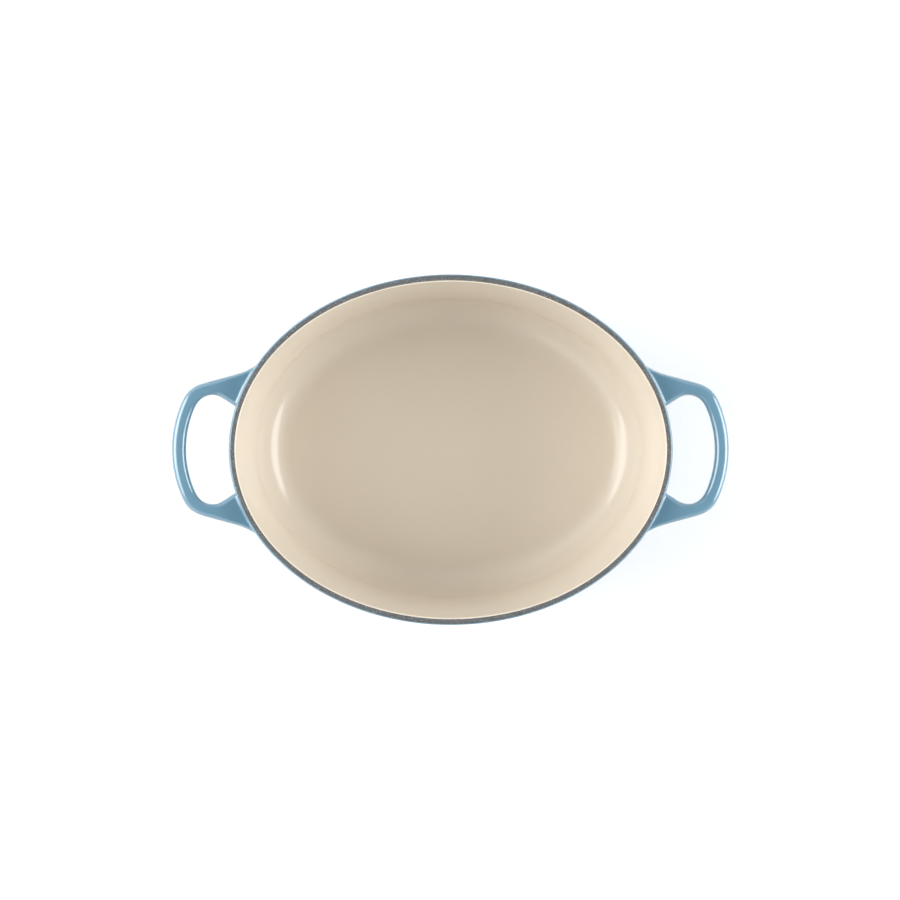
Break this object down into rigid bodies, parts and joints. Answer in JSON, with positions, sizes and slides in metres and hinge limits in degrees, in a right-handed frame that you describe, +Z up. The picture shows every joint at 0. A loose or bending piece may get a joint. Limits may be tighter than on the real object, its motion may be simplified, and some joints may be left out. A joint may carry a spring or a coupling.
{
  "type": "dutch oven",
  "caption": "Open oval enamelled cast iron pot with tapered walls, rounded floor corner and a loop handle at each end, for slow cooking.",
  "frame": {"origin": "centre of the foot ring, on the surface the pot stands on", "axes": "+X through the two loop handles, +Y across the oval, +Z up out of the pot's mouth"},
  "size_m": [0.393, 0.246, 0.127],
  "materials": {
    "cast_iron": "as cast, grit blasted, hidden under the enamel",
    "matt_enamel": "matt, finely speckled dark grey",
    "sand_enamel": "high gloss",
    "blue_enamel": "high gloss"
  },
  "bodies": {
    "root": {"iron_casting": "cast_iron", "rim_coat": "matt_enamel", "inside_enamel": "sand_enamel", "outside_enamel": "blue_enamel", "underside_enamel": "blue_enamel"}
  },
  "joints": []
}
